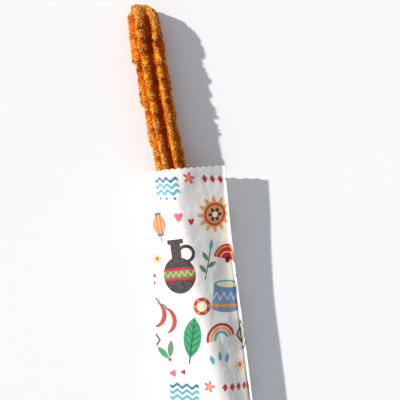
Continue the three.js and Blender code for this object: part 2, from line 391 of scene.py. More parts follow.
def betweenCrests(ridge, after, t, fromTip):
    # from one ridge's crest at t = 0 to the next one's at t = 1
    pair = ridge, after
    crest = mix(ridgeHeight(ridge, fromTip, t), ridgeHeight(after, fromTip, 1 - t), ease(0, 1, t))
    near, far = ridge.get("walls", (0.5, 0.5))
    smooth = ease(0, near, t) * ease(0, far, 1 - t)
    valley = mix(smooth, 1 - np.abs(np.cos(math.pi * t)), ridge.get("edge", churro["grooveEdge"]))
    share = crest - ridge["groove"] * valley
    cut = mix(ridge["cut"], after["cut"], ease(*churro["cutTurn"], t))
    start, end = [ridgeAngle(r, fromTip) for r in pair]
    angle = np.radians(start + (end - start) % 360 * t)
    mingled = ease(*churro["mingling"], t)
    own, other = [swelling(distinct(r["lumps"]), fromTip, churro["notchEnd"]) for r in pair]
    swell = mix(own, other, mingled) + churro["sinking"]
    swell = np.maximum(swell, churro["tipSwell"] * (1 - ease(*churro["tipSwellRun"], fromTip)))
    own, other = [crusting(r["lumps"], fromTip) for r in pair]
    crust = mix(own, other, mingled)
    # the ridges' browning, with painted shade on the right flank
    browningAndShade = mix(ridge.get("browningAndShade", 0), after.get("browningAndShade", 0), ease(*churro["browningAndShadeMingling"], t))
    groove = valley * min(1, ridge["groove"] / churro["fullGroove"])
    return np.broadcast_arrays(share, cut, angle, groove, swell, crust, browningAndShade)


def randomRelief(rings, fromTip):
    bumps = enumerate(churro["relief"])
    relief = sum(height * cloud(rings, size, octaves, seed) for seed, (size, octaves, height) in bumps)
    stretched = rings * (1, churro["cragLength"], 1)
    crags = np.maximum(0, cloud(stretched, churro["cragSize"], 3, 8) - churro["cragFrom"])
    relief = relief + churro["crag"] * crags
    shown = churro["showing"]
    return relief * mix(1, churro["hiddenRelief"], ease(shown, shown + churro["hiddenFade"], fromTip))


def doughSurface():
    random = np.random.default_rng(churro["seed"])
    for ridge in ridges:
        gaps = random.uniform(*churro["tearSpacing"], churro["tears"])
        ridge["tears"] = [(stop, 1, 0) for stop in np.cumsum(gaps)]
    fromTip = ringPlaces()
    y = churro["showing"] - fromTip
    tip = opening(fromTip, churro["tipRounding"])
    ends = np.minimum(tip, opening(churro["length"] - fromTip, churro["endRounding"]))

    place = np.arange(churro["around"]) * len(ridges) / churro["around"]
    spans = []
    for number, ridge in enumerate(ridges):
        t = (place[(place >= number) & (place < number + 1)] - number)[None, :]
        spans.append(betweenCrests(ridge, ridges[(number + 1) % len(ridges)], t, fromTip))
    share, cut, angle, groove, swell, crust, browningAndShade = [np.concatenate(columns, 1) for columns in zip(*spans)]
    at = y - tip * np.maximum(0, 1 - fromTip / churro["tipRun"]) * cut
    outward = np.stack([np.sin(angle), 0 * angle, np.cos(angle)], -1)
    axis = np.stack([axisX(at), at, axisZ(at)], -1)
    rise = mix(churro["tipHeight"], 1, np.clip(fromTip / churro["tipSlope"], 0, 1))
    outward[..., 2] *= np.where(outward[..., 2] > 0, blurred(rise + 0 * angle, 5), 1)
    rings = axis + outward * (rodRadius(y) * ends * share)[..., None]
    rings = rings + outward * (randomRelief(rings, fromTip) * ends)[..., None]
    rings[..., 2] = np.maximum(rings[..., 2], churro["lowest"])

    reach = np.linalg.norm((rings - axis)[..., [0, 2]], axis=-1)
    # raised: where the crust stands above or sinks below its surroundings; the pits get painted shade
    over = (reach - blurred(reach, churro["raisedRounds"])) / churro["raisedHeight"]
    marks = {  # what the crust's colours depend on
        # the groove mark carries painted shade for the grooves, weaker near the tip
        "groove": groove * mix(churro["tipGroove"], 1, ease(*churro["tipGrooveRun"], fromTip)),
        "raised": np.clip(over, -1, 1) * 0.5 + 0.5,
        "swell": blurred(swell, 3),
        "crusted": blurred(crust, 12),
        # browning, with painted shade on the right flank
        "browningAndShade": browningAndShade,
    }
    return SimpleNamespace(rings=rings, normals=gridNormals(rings), fromTip=fromTip[:, 0], marks=marks)


dough = doughSurface()
print("dough surface", dough.rings.shape)


def makeDough():
    along = lengthAlong(dough.rings.mean(1))
    places = grid(np.linspace(0, 1, churro["around"] + 1), along / along[-1])
    return makeTube("churroDough", dough.rings, {"OFBake": bakeEdge + bakeSpan * places}, dough.marks)


# cinnamon sugar

sugar = {
    "sugarPale": {
        "count": 11000, "size": (0.4, 1.3), "seed": 5, "patch": 5, "bare": -0.1,
        "onGrooves": 0.02, "onSmooth": 0.07, "inNotches": 0.2,
        "material": "paleSugar", "colours": (shade(214, 112, 10), shade(255, 203, 108)), "roughness": 0.45,
    },
    "sugarCinnamon": {
        "count": 8000, "size": (0.3, 0.8), "seed": 6, "patch": 4.5, "bare": -0.05,
        "onGrooves": 0.25, "onSmooth": 0.1, "inNotches": 1.0,
        "material": "cinnamonSugar", "colours": (shade(134, 46, 5), shade(200, 88, 12)), "roughness": 0.55,
    },
}
grains = {
    "insideMouth": 9,  # how far past the mouth the sugar goes
    "patchEdge": (-0.15, 0.25), "grooveWidth": 2.2, "notchSwell": (0.15, 0.5), "offTable": 0.6,
    "smallness": 2.2,  # above 1 for more small grains than large ones
    "bury": 0.18, "pressed": 0.1, "cornerReach": (0.72, 1.0), "cornerShift": 0.16,
    "dullness": 0.3, "dullScale": 900, "specular": 0.1, "toneCurve": 1.5,
}


def sugarWeights(kind, rings, marks):
    # the chance of a grain at each place
    size = np.linalg.norm(np.cross(np.roll(rings, -1, 1) - rings, np.gradient(rings, axis=0)), axis=-1)
    bare, full = [kind["bare"] + edge for edge in grains["patchEdge"]]
    weight = size * ease(bare, full, cloud(rings, kind["patch"], 2, kind["seed"]))
    weight *= mix(1, kind["onGrooves"], np.clip(grains["grooveWidth"] * marks["groove"], 0, 1))
    weight *= mix(kind["onSmooth"], 1, marks["crusted"])
    weight *= mix(kind["inNotches"], 1, ease(*grains["notchSwell"], marks["swell"]))
    weight *= np.where(rings[..., 2] > grains["offTable"], 1, 0)
    weight[-1] = 0
    return weight / weight.sum()


def scatterSugar(name, kind):
    random = np.random.default_rng(kind["seed"])
    count = kind["count"]
    shown = int(np.searchsorted(dough.fromTip, churro["showing"] + grains["insideMouth"]))
    rings, normals = dough.rings[:shown], dough.normals[:shown]
    weight = sugarWeights(kind, rings, {label: values[:shown] for label, values in dough.marks.items()})
    cells = random.choice(weight.size, count, p=weight.ravel())
    row, col = np.unravel_index(cells, weight.shape)
    a, b = random.random((2, count, 1))
    nextCol = (col + 1) % rings.shape[1]
    spot = mix(mix(rings[row, col], rings[row, nextCol], a), mix(rings[row + 1, col], rings[row + 1, nextCol], a), b)
    low, high = kind["size"]
    width = low + (high - low) * random.random(count) ** grains["smallness"]
    spot = spot + normals[row, col] * (width * (0.5 - grains["bury"]) - grains["pressed"])[:, None]
    spot[:, 2] = np.maximum(spot[:, 2], width)
    # a crystal is a cube with its corners knocked about
    cube = np.array([(x, y, z) for x in (-1, 1) for y in (-1, 1) for z in (-1, 1)]) / 2
    shift = grains["cornerShift"]
    grain = cube * random.uniform(*grains["cornerReach"], (count, 1, 3)) + random.uniform(-shift, shift, (count, 8, 3))
    turn = np.linalg.qr(random.normal(size=(count, 3, 3)))[0]
    turn *= np.sign(np.linalg.det(turn))[:, None, None]
    points = spot[:, None] + np.einsum("nij,nkj->nki", turn, grain) * width[:, None, None]
    sides = np.array([(0, 1, 3, 2), (4, 6, 7, 5), (0, 4, 5, 1), (2, 3, 7, 6), (0, 2, 6, 4), (1, 5, 7, 3)])
    faces = (np.arange(count)[:, None, None] * 8 + sides).reshape(-1, 4)
    # each grain has a square of its own in the bake map
    cellsWide = math.ceil(math.sqrt(count))
    corner = np.stack(np.divmod(np.arange(count), cellsWide), -1)[:, None, None]
    square = np.array([(0.1, 0.1), (0.9, 0.1), (0.9, 0.9), (0.1, 0.9)])
    bakeMap = ((corner + square) / cellsWide * np.ones((1, 6, 1, 1))).reshape(-1, 2)
    tone = np.repeat(random.random(count), 8)
    return makePiece(name, points.reshape(-1, 3), faces.tolist(), {"OFBake": bakeMap}, {"tone": tone}, smooth=False)


crustLooks = {
    "golden": shade(254, 178, 46), "orange": shade(240, 130, 12), "brown": shade(190, 76, 9),
    # on the next line, the groove colour is partly painted shade over the grooves' own deeper red
    "baked": shade(138, 40, 2), "dark": shade(98, 26, 1), "grooveShade": shade(160, 46, 3), "speck": shade(255, 190, 60),
    "patchScale": 90, "streakScale": 330, "speckScale": 720, "bakedScale": 150,
    "ragged": 0.35,  # how uneven the browned ends of the lumps are
    "roughness": 0.6, "specular": 0.02, "bumpStrength": 0.7, "bump": 0.00016,
}


def crustMaterial():
    looks = crustLooks
    material, surface = newMaterial("churroCrust", {"Specular IOR Level": looks["specular"]})
    place = objectPlace(surface)
    groove, raised, swell, crusted, browningAndShade = [mark(surface, name) for name in dough.marks]
    patches = fuzz(place, looks["patchScale"], 2)
    streaks = fuzz(place, looks["streakScale"], 3)
    specks = fuzz(place, looks["speckScale"], 2, 0.6)
    # less golden in the grooves and where the ridge is browned or darkened for shade: partly painted shade
    golden = between(0.38, 0.88, swell * 0.8 + patches - groove * 0.6 - browningAndShade * 0.5 - 0.05)
    ragged = swell + looks["ragged"] * (streaks - 0.5)
    browned = between(0.46, 0.6, streaks) * (0.2 + 0.8 * crusted)
    layers = [  # where it lies, how far it covers what is under it, and its tone
        # browning, and painted shade on the right flank
        (browningAndShade, 0.8, "brown"),
        (between(0.43, 0.15, ragged), 0.65, "brown"),
        (browned, 0.7, "brown"),
        (between(0.49, 0.58, fuzz(place, looks["bakedScale"], 3)), 0.7, "baked"),
        (between(0.24, 0.08, ragged), 0.75, "dark"),
        # painted shade in the crust's small pits
        (between(0.36, 0.12, raised) * (1 - groove), 0.6, "dark"),
        # painted shade in the grooves and on the flank that falls into them
        (between(0.3, 0.8, groove), 0.85, "grooveShade"),
        (between(0.54, 0.64, specks) * (0.35 + 0.5 * crusted), 1, "dark"),
        (between(0.45, 0.35, specks) * (1 - groove) * (0.35 + 0.4 * crusted), 1, "speck"),
    ]
    colour = blend(golden, looks["orange"], looks["golden"])
    for where, cover, tone in layers:
        colour = blend(where * cover, colour, looks[tone])
    rough = looks["roughness"] + 0.25 * (specks - 0.5) + 0.1 * browned
    finish(surface, looks, colour, rough, specks + 0.8 * streaks)
    return material


def sugarMaterial(kind):
    material, surface = newMaterial(kind["material"], {"Specular IOR Level": grains["specular"]})
    colour = blend(mark(surface, "tone") ** grains["toneCurve"], *kind["colours"])
    dullness = fuzz(objectPlace(surface), grains["dullScale"], 1) - 0.5
    rough = kind["roughness"] + grains["dullness"] * dullness
    connect(surface, {"Base Color": colour, "Roughness": rough})
    return material


wear(makeDough(), crustMaterial(), "crust", "churro")
for name, kind in sugar.items():
    wear(scatterSugar(name, kind), sugarMaterial(kind), "crust")
print("churro made")


# the paper bag

bag = {
    "flatWidth": 89, "length": 279, "wall": 0.7,
    # half widths and crease heights near the mouth and far down, and the lower sheet's curve to the table
    "left": {"half": (34.8, 40), "run": (0, 200), "crease": (9, 7.5),
             "foot": ((2.2, 0.52), (7, 0.12), (12.5, 0), (18, 0))},
    "right": {"half": (33.7, 41.4), "run": (20, 240), "crease": (24, 20),
              "foot": ((0.5, 0.5), (3, 0.1), (8, 0), (14, 0))},
    "settling": 130, "widening": 200,  # where the creases are down, and where they start to spread
    "lipWidth": 2.2, "dip": (23, 11), "dipRun": (15, 60),  # lip at the right crease, and valley beside it
    "gapingRun": 38, "hoop": (8, 4.3, 4),  # shift, growth and lift of a second round that holds the mouth open
    "propGap": 0.4, "bulge": (0.4, 1.7), "bulgeRun": (20, 80), "footPinch": 0.7,
    "mouthReach": 1.4, "mouthRun": 45, "toothDepth": 1.3, "toothPoints": 8, "toothRun": 5,
    "shortfall": 8, "shortfallRun": 30,  # of the lower sheet
    "sealLength": 11, "pocketEnd": 3, "closingLength": 24, "sealFlatness": 0.62,
    "perSheet": 120, "perLip": 8,  # points across each sheet, and out of those across the lip
    "step": 1.15,  # between rings
    "innerFine": 40, "innerSkip": 4,  # from there the inner skin takes each fourth ring
    "paper": 0.15,  # thickness
    "outside": 0.2, "lowest": 0.15,  # outer skin over the middle line, and over the table
    "standOff": 0.9,  # least distance from the churro's round
    "wrinkles": ((34, 0.5), (9, 0.3), (4, 0.13)), "wrinkleLength": 0.75,  # sizes and heights
    "wrinklesBelow": 0.15, "wrinklesAtCrease": (0.25, 5), "wrinklesAtSeal": 0.2,
    "creases": 70, "creaseSpread": 190, "creaseTurn": 34, "creaseLengths": (12, 42), "creaseHeights": (0.1, 0.34),
    "flank": (3.5, 0.16), "flankCurve": 1.3, "seed": 3,
    "foldLength": 14, "foldLift": 0.35, "foldRise": 8,
    "seam": {"half": 6, "bottom": 0.02, "top": 0.14, "cells": (24, 60), "fromFold": 6, "fromEdge": 1},
    "fold": {"half": 43.2, "bottom": 0.02, "top": 0.42, "cells": (60, 6), "fromEnd": 0.3, "teeth": 1.2},
}


def bagSection(s):
    flat = bag["length"] - bag["sealLength"]
    closing = float(ease(flat - bag["closingLength"], flat, s))
    gaping = 1 - float(ease(0, bag["gapingRun"], s))
    sheet = bag["wall"] / 2

    def settle(pair, start, end):
        return mix(*pair, float(ease(start, end, s)))

    def crease(side):
        across = settle(side["half"], *side["run"])
        across = mix(across, bag["flatWidth"] / 2 - sheet, float(ease(bag["widening"], flat, s)))
        return across, mix(settle(side["crease"], 0, bag["settling"]), 2 * sheet, closing)

    left, right = crease(bag["left"]), crease(bag["right"])
    props = []
    for shift, growth, lift in ((0, 0, 0), bag["hoop"]):
        props.append((
            float(axisX(np.float64(-s))) + shift * gaping,
            mix(float(axisZ(np.float64(-s))) + lift * gaping, 2 * sheet, closing),
            mix(churro["bagRadius"] + bag["propGap"] + bag["wall"] + growth * gaping, sheet, closing),
        ))
    valley = (right[0] - bag["lipWidth"], mix(settle(bag["dip"], *bag["dipRun"]), 3 * sheet, closing))
    bulge = settle(bag["bulge"], *bag["bulgeRun"]) * (1 - closing)
    left = (-left[0], left[1])
    return SimpleNamespace(closing=closing, left=left, right=right, props=props, valley=valley, bulge=bulge)


def tautOver(props, start, end):
    # the hull's upper side, over both ends and the round props
    turns = np.radians(np.arange(-90, 91, 4.5))
    points = [start, end]
    for x, z, r in props:
        points += list(zip(x + r * np.sin(turns), z + r * np.cos(turns)))
    hull = []
    for p in sorted(points):
        while len(hull) > 1:
            (ax, az), (bx, bz) = hull[-2:]
            if (bx - ax) * (p[1] - bz) - (bz - az) * (p[0] - bx) < 0:
                break
            hull.pop()
        hull.append(p)
    return hull


def soften(line, rounds):
    for _ in range(rounds):
        line[1:-1] = (line[:-2] + 2 * line[1:-1] + line[2:]) / 4
    return line


def evenly(points, count, rounds):
    # equal lengths along the line, with softened corners
    points = np.array(points, float)
    length = lengthAlong(points)
    at = np.linspace(0, length[-1], count + 1)
    return soften(np.stack([np.interp(at, length, points[:, k]) for k in (0, 1)], 1), rounds)


def middleLine(s):
    # round the tube's section: over the top from the left crease to the right one, and back below
    section = bagSection(s)
    pinch = mix(1, bag["footPinch"], section.closing)
    low = bag["wall"] / 2
    foot = {}
    for name, side, (x, z) in (("left", 1, section.left), ("right", -1, section.right)):
        foot[name] = [(x + side * pinch * run, mix(low, z, share)) for run, share in bag[name]["foot"]]
    count = bag["perSheet"]
    upper = evenly(tautOver(section.props, section.left, section.valley), count - bag["perLip"], 10)
    crest = upper[upper[:, 1].argmax(), 0]
    beyond = np.clip((upper[:, 0] - crest) / (section.valley[0] - crest), 0, 1)
    upper[:, 1] += section.bulge * (27 / 4) * beyond ** 2 * (1 - beyond)  # 27 / 4 makes the top 1
    lip = evenly([section.valley, section.right], bag["perLip"], 0)
    over = soften(np.concatenate([upper[:-1], lip]), 2)
    lower = evenly([section.right, *foot["right"], *foot["left"][::-1], section.left], count, 10)
    return np.concatenate([over[:-1], lower[:-1]])


def sideways(lines):
    # unit normals in each section's own plane, pointing out
    along = np.roll(lines, -1, 1) - np.roll(lines, 1, 1)
    return unit(np.stack([-along[..., 1], along[..., 0]], -1))


handCreases = [  # across, down, turn from the bag's length in degrees, length, height
    (62, 17, 3, 30, -0.35), (62, 155, 4, 70, -0.7), (70, 60, -12, 46, -0.5), (58, 96, 10, 60, 0.45),
    (72, 128, -6, 54, 0.55), (66, 165, 14, 50, -0.5), (76, 40, 28, 26, 0.4), (54, 136, -18, 44, -0.4),
    (20, 120, 8, 60, 0.35), (12, 60, -5, 50, 0.3), (80, 96, 20, 34, -0.4), (30, 8, 62, 18, 0.25),
    (48, 10, -58, 18, 0.25),
]


def crumple(across, down):
    # straight sharp creases with soft flanks, like paper that has been handled
    random = np.random.default_rng(bag["seed"])
    lines = list(handCreases)
    for _ in range(bag["creases"]):
        lines.append((
            random.uniform(0, bag["creaseSpread"]), random.uniform(0, bag["length"]),
            random.normal(0, bag["creaseTurn"]), random.uniform(*bag["creaseLengths"]),
            random.uniform(*bag["creaseHeights"]) * random.choice((-1, 1)),
        ))
    least, growth = bag["flank"]
    total = np.zeros_like(across)
    for u, v, turn, length, height in lines:
        c, s = math.cos(math.radians(turn)), math.sin(math.radians(turn))
        du, dv = across - u, down - v
        off, run = np.abs(du * c - dv * s), np.abs(du * s + dv * c) / (length / 2)
        flank = np.maximum(0, 1 - off / (least + growth * length)) ** bag["flankCurve"]
        total += height * flank * np.clip(1 - run ** 2, 0, 1)
    return total


def wrinkling(reached, stations, share, closing):
    across = reached[:, :-1]
    down = np.broadcast_to(stations[:, None], across.shape)
    flat = np.stack([across, down * bag["wrinkleLength"], 0 * down], -1)
    wrinkles = crumple(across, down)
    for seed, (size, height) in enumerate(bag["wrinkles"], 1):
        wrinkles = wrinkles + height * cloud(flat, size, 2, seed)
    # flatter below, at both creases and at the closed end
    toRight = np.abs(across - across[:, bag["perSheet"], None])
    nearCrease = np.minimum(np.minimum(across, reached[:, -1:] - across), toRight)
    least, run = bag["wrinklesAtCrease"]
    weight = np.where((share < 1)[None, :], 1, bag["wrinklesBelow"]) * mix(least, 1, ease(0, run, nearCrease))
    return wrinkles * (weight * mix(1, bag["wrinklesAtSeal"], closing)[:, None])


def clearOfChurro(lines, stations, closing):
    centre = np.stack([axisX(-stations), axisZ(-stations)], 1)[:, None]
    gap = lines - centre
    distance = np.linalg.norm(gap, axis=-1, keepdims=True)
    least = ((churro["bagRadius"] + bag["standOff"]) * (1 - closing))[:, None, None]
    return np.where(distance < least, centre + gap / distance * least, lines)


def paperRings():
    length, flat = bag["length"], bag["length"] - bag["sealLength"]
    stations = np.concatenate([[0, 0.5, 1.1], np.arange(2, length, bag["step"]), [length]])
    lines = np.stack([middleLine(s) for s in stations])
    closing = ease(flat - bag["closingLength"], flat, stations)
    count = 2 * bag["perSheet"]
    share = np.arange(count) / bag["perSheet"]  # 0 to 1 over the top, 1 to 2 below
    sides = np.linalg.norm(np.roll(lines, -1, 1) - lines, axis=-1)
    reached = np.concatenate([np.zeros((len(stations), 1)), np.cumsum(sides, 1)], 1)  # distance from the left crease
    lines = lines + sideways(lines) * wrinkling(reached, stations, share, closing)[..., None]
    lines = clearOfChurro(lines, stations, closing)
    normals = sideways(lines)

    pitch = bag["toothPoints"]
    teeth = 1 - np.abs(1 - (np.arange(count) % pitch) / (pitch / 2))
    notch = bag["toothDepth"] * teeth[None, :] * np.maximum(0, 1 - stations / bag["toothRun"])[:, None]
    foldTop = length - bag["foldLength"]
    lift = bag["foldLift"] * ease(foldTop - bag["foldRise"], foldTop, stations)
    flatten = mix(1, bag["sealFlatness"], closing)[:, None]
    below = np.clip(share - 1, 0, 1)
    behind = bag["shortfall"] * (1 - ease(0, bag["shortfallRun"], stations))[:, None]
    behind = behind * (ease(0, 0.25, below) * ease(0, 0.1, 1 - below) * (share > 1))[None, :]
    y = bag["mouthReach"] * (1 - ease(0, bag["mouthRun"], stations))[:, None] - stations[:, None] - notch - behind

    def skin(depth):
        moved = lines + normals * (bag["outside"] - depth)
        z = np.maximum(moved[..., 1] * flatten, bag["lowest"] + depth) + lift[:, None]
        return np.stack([moved[..., 0], y, z], -1)

    outer, inner = skin(0), skin(bag["paper"])
    fine, deepest = bag["innerFine"], flat - bag["pocketEnd"]
    sparse = np.flatnonzero((stations >= fine) & (stations < deepest))[::bag["innerSkip"]]
    chosen = np.concatenate([np.flatnonzero(stations < fine), sparse])
    return outer, inner[chosen], stations, stations[chosen], share, np.concatenate([reached[::-1], reached[chosen]])


def makeBag():
    # one tube: up the outside from the closed end, in at the mouth and down the inside
    outer, inner, outerAt, innerAt, share, reached = paperRings()

    def perRing(outside, inside):
        return np.concatenate([np.full(len(outerAt), outside), np.full(len(innerAt), inside)])[:, None]

    rings = np.concatenate([outer[::-1], inner])
    printed = np.concatenate([outerAt[::-1], innerAt])
    across = bakeEdge + perRing(0.0, 0.66) + perRing(0.64, 0.33) * np.append(share, 2.0) / 2
    up = bakeEdge + bakeSpan * printed / bag["length"]
    maps = {"PrintPlace": grid(reached, -printed), "OFBake": grid(across, up)}
    return makeTube("paperBag", rings, maps, {"inside": perRing(0.0, 1.0) + 0 * share})


def makeStrip(name, strip, start, end):
    # a strip of paper lying flat, with one end pinked if it has teeth
    nx, ny = strip["cells"]
    x = np.linspace(-strip["half"], strip["half"], nx + 1)
    rows = []
    for y in np.linspace(start, end, ny + 1):
        pink = strip.get("teeth", 0.0) * (np.arange(nx + 1) % 2) * (abs(y - end) < 1e-6)
        top = np.stack([x, y - pink, np.full(nx + 1, strip["top"])], 1)
        under = np.stack([x, y - pink, np.full(nx + 1, strip["bottom"])], 1)[::-1]
        rows.append(np.concatenate([top, under]))
    places = grid(np.linspace(0, 1, 2 * nx + 3), np.linspace(0, 1, ny + 1))
    return makeTube(name, np.array(rows), {"OFBake": bakeEdge + bakeSpan * places}, {})


# the print: soft shapes, each as the distance inside its edge

inks = {
    "teal": shade(84, 168, 180), "blue": shade(52, 112, 154), "red": shade(190, 30, 46),
    "rust": shade(176, 52, 38), "orange": shade(240, 160, 62), "tan": shade(206, 152, 92),
    "brown": shade(44, 28, 28), "green": shade(34, 146, 92), "leaf": shade(96, 128, 96),
    "slate": shade(120, 146, 186), "pink": shade(238, 92, 116), "indigo": shade(58, 62, 104),
    "cream": shade(250, 232, 196), "white": shade(246, 244, 240), "darkGreen": shade(24, 84, 62),
}


def vectorMaths(operation, *values, out=0):
    return values[0].node("VectorMath", {"operation": operation}, dict(enumerate(values)), out)


def spotOf(place):
    x = place.node("SeparateXYZ", None, {0: place})
    return SimpleNamespace(p=place, x=x, y=Wire(x.socket.node.outputs[1]))


def part(spot, x, y, turn):
    # the print seen from another point, turned anticlockwise
    moved = vectorMaths("SUBTRACT", spot.p, (x, y, 0))
    turned = moved.node("VectorRotate", {"rotation_type": "Z_AXIS"}, {"Vector": moved, "Angle": -math.radians(turn)})
    return spotOf(turned)


def fromPoint(spot, x=0, y=0):
    return vectorMaths("DISTANCE", spot.p, (x, y, 0), out=1)


def disc(spot, radius, x=0, y=0):
    return radius - fromPoint(spot, x, y)


def ring(spot, radius, width, x=0, y=0):
    return width / 2 - abs(fromPoint(spot, x, y) - radius)


def bar(spot, width, height, x=0, y=0):
    return smaller(width / 2 - abs(spot.x - x), height / 2 - abs(spot.y - y))


def oval(spot, width, height, x=0, y=0):
    moved = vectorMaths("SUBTRACT", spot.p, (x, y, 0))
    scaled = vectorMaths("MULTIPLY", moved, (2 / width, 2 / height, 0))
    return (1 - vectorMaths("LENGTH", scaled, out=1)) * (min(width, height) / 2)


def stroke(spot, start, end, width):
    run = (end[0] - start[0], end[1] - start[1])
    square = run[0] ** 2 + run[1] ** 2
    dot = vectorMaths("DOT_PRODUCT", spot.p, (run[0] / square, run[1] / square, 0), out=1)
    along = dot.maths("SUBTRACT", dot, (start[0] * run[0] + start[1] * run[1]) / square, clamp=True)
    reached = along.node("VectorMath", {"operation": "SCALE"}, {0: (*run, 0), "Scale": along})
    nearest = vectorMaths("ADD", reached, (*start, 0))
    return width / 2 - vectorMaths("DISTANCE", nearest, spot.p, out=1)


def rays(spot, radius, count, depth, turn=0.0):
    angle = spot.x.maths("ARCTAN2", spot.y, spot.x)
    lobes = angle.maths("COSINE", angle * count + turn)
    return radius * (1 - depth) + lobes * (radius * depth) - fromPoint(spot)


def wavyLine(spot, pitch, swing, width, y=0):
    bend = spot.x.maths("SINE", spot.x * (2 * math.pi / pitch))
    return width / 2 - abs(spot.y - y - bend * swing)


def zigzag(spot, pitch, swing, width, y=0):
    tooth = spot.x.maths("PINGPONG", spot.x + 40 * pitch, pitch / 2)
    return width / 2 - abs(spot.y - y - tooth * (4 * swing / pitch) + swing)


def almond(spot, length, width, x=0, y=0):
    radius = (length ** 2 / 4 + width ** 2 / 4) / width
    return smaller(disc(spot, radius, x + radius - width / 2, y), disc(spot, radius, x - radius + width / 2, y))


def lozenge(spot, width, height, x=0, y=0):
    return (1 - abs(spot.x - x) / (width / 2) - abs(spot.y - y) / (height / 2)) * (min(width, height) / 3)


def waves(spot):
    ends = 12 - abs(spot.x)
    lines = [(7, "blue"), (2.5, "teal"), (-2, "teal")]
    layers = [(smaller(wavyLine(spot, 8, 1.2, 2.5, y), ends), ink) for y, ink in lines]
    return layers + [(disc(spot, 1.1, x, -6.5), "blue") for x in (-7, 0, 7)]


def sun(spot):
    return [
        (rays(spot, 14, 12, 0.2), "orange"), (disc(spot, 9.6), "tan"), (ring(spot, 7.6, 1.5), "red"),
        (rays(spot, 5.6, 6, 0.25), "brown"), (disc(spot, 2.3), "cream"),
    ]


def jug(spot):
    belly = oval(spot, 27, 27, 0, -6)
    body = larger(belly, larger(bar(spot, 9, 18, 0, 10), bar(spot, 14, 3.4, 0, 18.5)))
    handle = larger(ring(spot, 5.5, 2.4, 8, 9), body)
    band = smaller(belly, bar(spot, 40, 9, 0, -5))
    return [
        (handle, "brown"), (band, "red"), (smaller(band, bar(spot, 40, 5, 0, -5)), "green"),
        (smaller(band, zigzag(spot, 5, 1.8, 1.3, -5)), "orange"),
    ]


def foldedFan(spot):
    half = smaller(disc(spot, 13, 0, -6), spot.y + 4.5)
    angle = spot.x.maths("ARCTAN2", spot.y + 6, spot.x)
    stripes = angle.maths("COSINE", angle * 18) * 1.5
    return [
        (half, "red"), (smaller(half, stripes), "rust"), (smaller(half, ring(spot, 11, 1.2, 0, -6)), "orange"),
        (smaller(half, ring(spot, 7, 0.9, 0, -6)), "cream"), (disc(spot, 2.4, 0, -5), "brown"),
    ]


def drum(spot):
    side = larger(bar(spot, 24, 17, 0, -1), larger(oval(spot, 24, 6, 0, -9.5), oval(spot, 24, 6, 0, 7.5)))
    return [
        (side, "slate"), (smaller(side, zigzag(spot, 6, 2.6, 1.2, -1)), "white"),
        (smaller(side, bar(spot, 30, 2.2, 0, -7.5)), "orange"), (oval(spot, 24, 6.5, 0, 7.5), "teal"),
        (oval(spot, 19, 4.2, 0, 7.5), "cream"),
    ]


def tallLeaf(spot):
    blade = almond(spot, 32, 15)
    veins = spot.y.maths("PINGPONG", spot.y + 200 - abs(spot.x) * 0.9, 2.6)
    return [
        (stroke(spot, (0, -20), (0, -12), 1.4), "darkGreen"), (blade, "green"),
        (smaller(blade - 0.9, 0.45 - veins), "darkGreen"), (stroke(spot, (0, -18), (0, 13), 0.9), "darkGreen"),
    ]


def chillies(spot):
    layers = []
    for x, y, turn in ((-4, 1.5, 8), (4.5, -1.5, 22)):
        one = part(spot, x, y, turn)
        layers.append((smaller(disc(one, 10, -7, 0), -disc(one, 10.5, -11.5, 1.5)), "rust"))
        layers.append((stroke(one, (-2, 9.5), (-4.5, 12), 1.6), "green"))
    return layers


def lantern(spot):
    body = oval(spot, 13, 16)
    folds = spot.x.maths("PINGPONG", spot.x + 100, 2)
    return [
        (stroke(spot, (0, -13), (0, -8), 1.2), "red"), (body, "orange"), (smaller(body, folds - 1.2), "pink"),
        (bar(spot, 7, 2, 0, 8), "blue"), (bar(spot, 7, 2, 0, -8), "blue"),
        (stroke(spot, (0, 9), (0, 13), 0.6), "brown"),
    ]


def hearts(spot):
    layers = []
    for x, y, size, ink in ((-5, 1, 7, "pink"), (4, -3, 5, "red")):
        point = (x, y - 0.22 * size)
        lobes = [(x + side * 0.23 * size, y + 0.2 * size) for side in (-1, 1)]
        layers.append((larger(*[stroke(spot, lobe, point, 0.46 * size) for lobe in lobes]), ink))
    return layers


def sprig(spot):
    layers = [(stroke(spot, (0, -12), (1, 12), 0.8), "darkGreen")]
    for x, y, turn, ink in ((-3, -5, 50, "leaf"), (3.4, -1, -50, "leaf"), (-2.4, 4, 45, "leaf"), (1, 13, 0, "teal")):
        layers.append((almond(part(spot, x, y, turn), 8, 3.2), ink))
    return layers


def wovenDiamonds(spot):
    sizes = ((18, 24, "indigo"), (14, 18.6, "cream"), (11, 14.6, "teal"), (5.5, 7.2, "orange"))
    return [(lozenge(spot, width, height), ink) for width, height, ink in sizes]


def smallStar(spot):
    return [(rays(spot, 5.4, 8, 0.36), "orange"), (disc(spot, 1.3), "rust")]


def diamondRow(spot):
    repeated = spot.x.maths("PINGPONG", spot.x + 70, 3.5)
    one = (1 - abs(repeated) / 2.6 - abs(spot.y) / 3.8) * 1.6
    return [(smaller(one, 17.5 - abs(spot.x)), "red")]


def rainbow(spot):
    above = spot.y + 4
    bands = ((10, "red"), (7.4, "orange"), (4.8, "teal"))
    return [(smaller(ring(spot, radius, 2, 0, -4), above), ink) for radius, ink in bands]


def leafPair(spot):
    return [
        (almond(part(spot, -3, 0, 28), 12, 4.4), "green"), (almond(part(spot, 3.4, 0.6, -28), 12, 4.4), "leaf"),
        (disc(spot, 1.3, 0, -6), "red"),
    ]


def tambourine(spot):
    around = [(6 * math.cos(math.radians(a)), 6 * math.sin(math.radians(a))) for a in range(0, 360, 60)]
    bells = [(disc(spot, 1.0, x, y), "orange") for x, y in around]
    return [(disc(spot, 7.6), "rust"), (disc(spot, 4.4), "cream")] + bells


